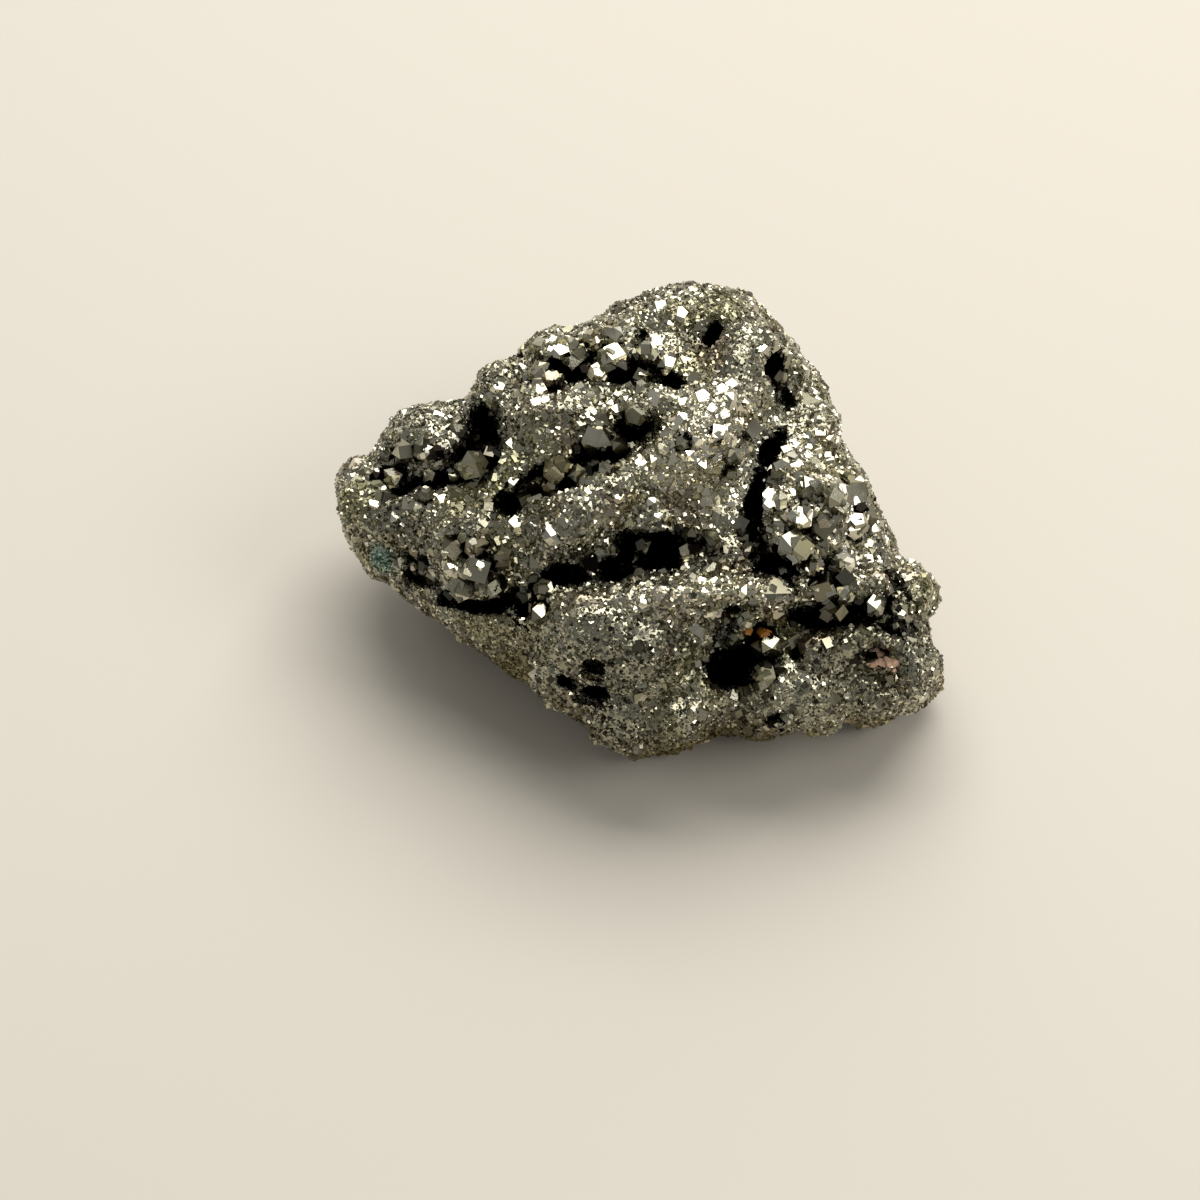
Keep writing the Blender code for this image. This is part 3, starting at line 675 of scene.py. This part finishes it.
def thinned(places, gaps, tree, free):
    """Takes the places in turn, and keeps the free ones with no kept one nearer than their own gap."""
    kept = np.zeros(len(places), bool)
    for i, (place, gap) in enumerate(zip(places.tolist(), gaps.tolist())):
        kept[i] = free[i] and not any(kept[near] for _, near, _ in tree.find_range(place, gap))
    return np.flatnonzero(kept)


def basis(directions, rng):
    """Rotation matrices whose third axis is the direction, turned at random about it."""
    first = unit(np.cross(directions, rng.normal(size=directions.shape)))
    return np.stack([first, np.cross(directions, first), directions], axis=-1)


def crystals(centers, sizes, habits, turns, stretches):
    """All crystals of a group: each is its habit's form, stretched a little along its own axes, turned,
    at its own size, and raised where it would dip into the table. Returns corners, triangles and the
    crystal that each belongs to."""
    points, triangles, owners, start = [], [], [], 0
    for number, (form, faces, _, _) in enumerate(FORMS):
        own = np.flatnonzero(habits == number)
        shaped = form[None] * stretches[own, None] * sizes[own, None, None]
        placed = np.einsum("nij,nkj->nki", turns[own], shaped) + centers[own, None]
        placed[..., 2] += np.maximum(GROUND_GAP - placed[..., 2].min(axis=1), 0)[:, None]
        points.append(placed.reshape(-1, 3))
        first = start + np.arange(len(own))[:, None, None] * len(form)
        triangles.append((faces[None] + first).reshape(-1, 3))
        owners.append(np.repeat(own, len(faces)))
        start += len(own) * len(form)
    return np.vstack(points), np.vstack(triangles), np.concatenate(owners)


def within(points, normals, fields):
    """How far inside the show side's elliptic fields each point is: a field's strength in its middle,
    falling to 0 a little outside its rim."""
    views = (points - np.array(MIDDLE)) / MM
    u, v = views @ np.array(ACROSS), views @ np.array(UP)
    total = np.zeros(len(points))
    for middle_u, middle_v, half_u, half_v, turn, strength in fields:
        c, s = math.cos(math.radians(turn)), math.sin(math.radians(turn))
        along = ((u - middle_u) * c + (v - middle_v) * s) / half_u
        across = ((v - middle_v) * c - (u - middle_u) * s) / half_v
        share = sloped(np.hypot(along, across), *FIELD_EDGE)
        total = np.where(share * abs(strength) > abs(total), share * strength, total)
    return np.where(normals @ np.array(TOWARD) > SHOW_COSINE, total, 0.0)


rng = np.random.default_rng(FIELD_SEED)
FORMS = [closed_form(corners) for corners in habit_corners(rng)]
CUBE, OCTAHEDRON, TRIMMED, DODECAHEDRON = 0, 1, 2, 2 + UNEQUAL_FORMS

own_rows = np.array(GLINTS + GREYS)
is_glint = np.arange(len(own_rows)) < len(GLINTS)
own_spots = np.array([surface_point(*from_photo(x, y)) for x, y, _ in own_rows.tolist()])
own_places, own_normals = own_spots.transpose(1, 0, 2)
own_habits = rng.integers(TRIMMED, len(FORMS), len(own_rows))
face_widths = np.array([width for _, _, _, width in FORMS])[own_habits]
own_sizes = own_rows[:, 2] * PIXEL_MM * MM / np.where(is_glint, face_widths, 1.0)
to_light = unit(np.array(KEY_PLACE) - own_places)
to_eye = unit(np.array(camera.location) - own_places)
facing = np.where(is_glint[:, None], unit(to_light + to_eye), unit(to_eye + GREY_LEAN * own_normals))
spread = np.where(is_glint, GLINT_SPREAD, GREY_SPREAD)[:, None]
facing = unit(facing + rng.normal(size=facing.shape) * spread)

on_show = body_normals @ np.array(TOWARD) > SHOW_COSINE
strength = np.where(on_show, within(body_points, body_normals, COARSE_FIELDS),
                    sloped(value_noise(body_points, FIELD_WAVE, FIELD_SEED), *PATTERN_SHARE))
weight = strength[body_triangles].mean(axis=1) + OUTSIDE_SHARE
weight *= np.where(on_crystal, ON_CRYSTAL_SHARE, 1.0) * sloped(body_open, *OPEN_SHARE)
places, at = scattered(body_points, body_triangles, weight, FIELD_TRIES, rng)
sizes = rng.uniform(*FIELD_SIZES, FIELD_TRIES) * MM
places, sizes = np.vstack([own_places, places]), np.concatenate([own_sizes, sizes])
normals = np.vstack([own_normals, unit(body_normals[body_triangles[at]].mean(axis=1))])
gaps = sizes * FIELD_GAP
gaps[:len(own_places)] = 0.0
kept = thinned(places, gaps, search_tree(places), places[:, 2] - sizes * 0.5 > GROUND_GAP)
places, sizes, normals, is_own = places[kept], sizes[kept], normals[kept], kept < len(own_places)
sunk = np.where(is_own, OWN_SUNK, rng.uniform(*FIELD_SUNK, len(sizes)))
places = places - normals * (sizes * sunk)[:, None]
habits = np.where(rng.random(len(sizes)) < CUBE_SHARE, CUBE, rng.integers(TRIMMED, len(FORMS), len(sizes)))
habits[is_own] = own_habits[kept[is_own]]
stretches = rng.uniform(1 - FIELD_STRETCH, 1 + FIELD_STRETCH, (len(sizes), 3))
stretches[is_own] = 1.0
turns = basis(unit(rng.normal(size=(len(sizes), 3))), rng)
face_normals = np.array([normal for _, _, normal, _ in FORMS])[habits[is_own]]
turns[is_own] = basis(facing[kept[is_own]], rng) @ basis(face_normals, rng).transpose(0, 2, 1)
points, triangles, owners = crystals(places, sizes, habits, turns, stretches)
crystal_shade_openness = openness(body_tree, places + normals * (sizes * 0.5)[:, None], normals)
# The fields raise or lower the tone: painted light and shade
tones = rng.normal(FIELD_TONE, FIELD_TONE_SPREAD, len(sizes)) + within(places, normals, PAINTED_LIGHT_FIELDS)
tones[is_own] = np.where(is_glint[kept[is_own]], GLINT_TONE, tones[is_own])
crystal_tones = np.clip(tones[owners] + rng.normal(0, FACE_TONE_SPREAD, len(owners)), 0, 1)
large = mesh_object("larger_crystals", points, triangles, pyrite, open=crystal_shade_openness[owners],
                    tone=crystal_tones)
large_places, large_sizes = places, sizes

# The coat: a druse of crystals well under 1 mm, grown together shoulder to shoulder all over the lump,
# so that only their caps show. Their faces catch the light at all angles, which makes the lump
# sparkle. It is cut into sectors around the lump only to keep each mesh small.
COAT_SEED = 23
COAT_TRIES = 190000
# Sizes in millimetres where the coat is finest and coarsest, how far the two are apart, and how much one
# crystal differs from its neighbours
COAT_SIZES = (0.30, 0.54)
COAT_SIZE_WAVE = 6.0 * MM
COAT_UNEVEN = (0.75, 1.25)
# In a crystal's own sizes: the gap to the next, how far it reaches and how deep it is sunk; and how much
# of a larger crystal's size keeps the coat off
COAT_GAP = 0.66
COAT_REACH = 0.6
COAT_SUNK = (-0.02, 0.24)
COVERED = 0.42
COAT_FOOT = 0.2 * MM
COAT_STRETCH = 0.42
COAT_SECTORS = 5
COAT_TONE, COAT_TONE_SPREAD, COAT_FACE_SPREAD = 0.56, 0.27, 0.08
rng = np.random.default_rng(COAT_SEED)
weight = np.where(on_crystal, 0.0, 1.0) * (body_points[body_triangles][:, :, 2].min(axis=1) > COAT_FOOT)
places, at = scattered(body_points, body_triangles, weight, COAT_TRIES, rng)
normals = unit(body_normals[body_triangles[at]].mean(axis=1))
coarse = 0.5 + 0.5 * value_noise(places, COAT_SIZE_WAVE, COAT_SEED)
sizes = COAT_SIZES[0] + (COAT_SIZES[1] - COAT_SIZES[0]) * coarse
sizes = sizes * rng.uniform(*COAT_UNEVEN, COAT_TRIES) * MM
free = places[:, 2] - sizes * COAT_REACH > GROUND_GAP
tree = search_tree(places)
for place, size in zip(large_places.tolist(), large_sizes.tolist()):
    free[[near for _, near, _ in tree.find_range(place, size * COVERED)]] = False
kept = thinned(places, sizes * COAT_GAP, tree, free)
places, sizes, normals, at = places[kept], sizes[kept], normals[kept], at[kept]
places = places - normals * (sizes * rng.uniform(*COAT_SUNK, len(sizes)))[:, None]
habits = rng.choice([CUBE, OCTAHEDRON], len(sizes))
# The fields raise or lower the tone: painted light and shade
tones = rng.normal(COAT_TONE, COAT_TONE_SPREAD, len(sizes)) + within(places, normals, PAINTED_LIGHT_FIELDS)
around = np.arctan2(places[:, 1], places[:, 0])
sector = np.searchsorted(np.quantile(around, np.linspace(0, 1, COAT_SECTORS + 1)[1:-1]), around)
coat = []
for number in range(COAT_SECTORS):
    own = np.flatnonzero(sector == number)
    turns = basis(unit(rng.normal(size=(len(own), 3))), rng)
    stretches = rng.uniform(1 - COAT_STRETCH, 1 + COAT_STRETCH, (len(own), 3))
    points, triangles, owners = crystals(places[own], sizes[own], habits[own], turns, stretches)
    coat_tones = np.clip(tones[own][owners] + rng.normal(0, COAT_FACE_SPREAD, len(owners)), 0, 1)
    coat.append(mesh_object(f"coat_sector_{number + 1}", points, triangles, pyrite,
                            open=body_open[at[own]][owners], tone=coat_tones))

# The inclusions: a few small grains of pale pinkish quartz in the hollow of the right lobe, and of
# amber limonite, the rust that pyrite weathers to, at the rim of the vug beside it. Both grew as loose
# crowds of stubby crystals.
INCLUSION_SEED = 3
INCLUSION_STRETCH = (0.8, 1.2)
# Each row: name, u, v, half width and half height of the crowd in mm, number, sizes in mm, material's
# name, its colour and roughness
INCLUSIONS = (("quartz_inclusion", 25.4, -14.6, 0.7, 0.4, 14, (0.7, 1.3), "pinkish_quartz", "e2bca0", 0.35),
              ("limonite_grains", 12.5, -11.6, 0.5, 0.4, 5, (0.9, 1.5), "amber_limonite", "a8702c", 0.3))
rng = np.random.default_rng(INCLUSION_SEED)
inclusions = []
for name, u, v, half_u, half_v, number, grain_sizes, finish, code, roughness in INCLUSIONS:
    spots = (u, v) + rng.normal(0, 1, (number, 2)) * (half_u, half_v)
    places = np.array([surface_point(*spot)[0] for spot in spots.tolist()])
    sizes = rng.uniform(*grain_sizes, number) * MM
    turns = basis(unit(rng.normal(size=(number, 3))), rng)
    habits = np.full(number, DODECAHEDRON)
    stretches = rng.uniform(*INCLUSION_STRETCH, (number, 3))
    points, triangles, _ = crystals(places, sizes, habits, turns, stretches)
    grain_material, _, grain_shader = new_material(finish)
    grain_shader.inputs["Base Color"].default_value = linear(code)
    grain_shader.inputs["Roughness"].default_value = roughness
    inclusions.append(mesh_object(name, points, triangles, grain_material))

# All of it is one rigid lump on the table; the pieces together stand in for the one solid.
for piece in (body, large, *coat, *inclusions):
    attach(piece, "root")
    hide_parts("pyrite_cluster")
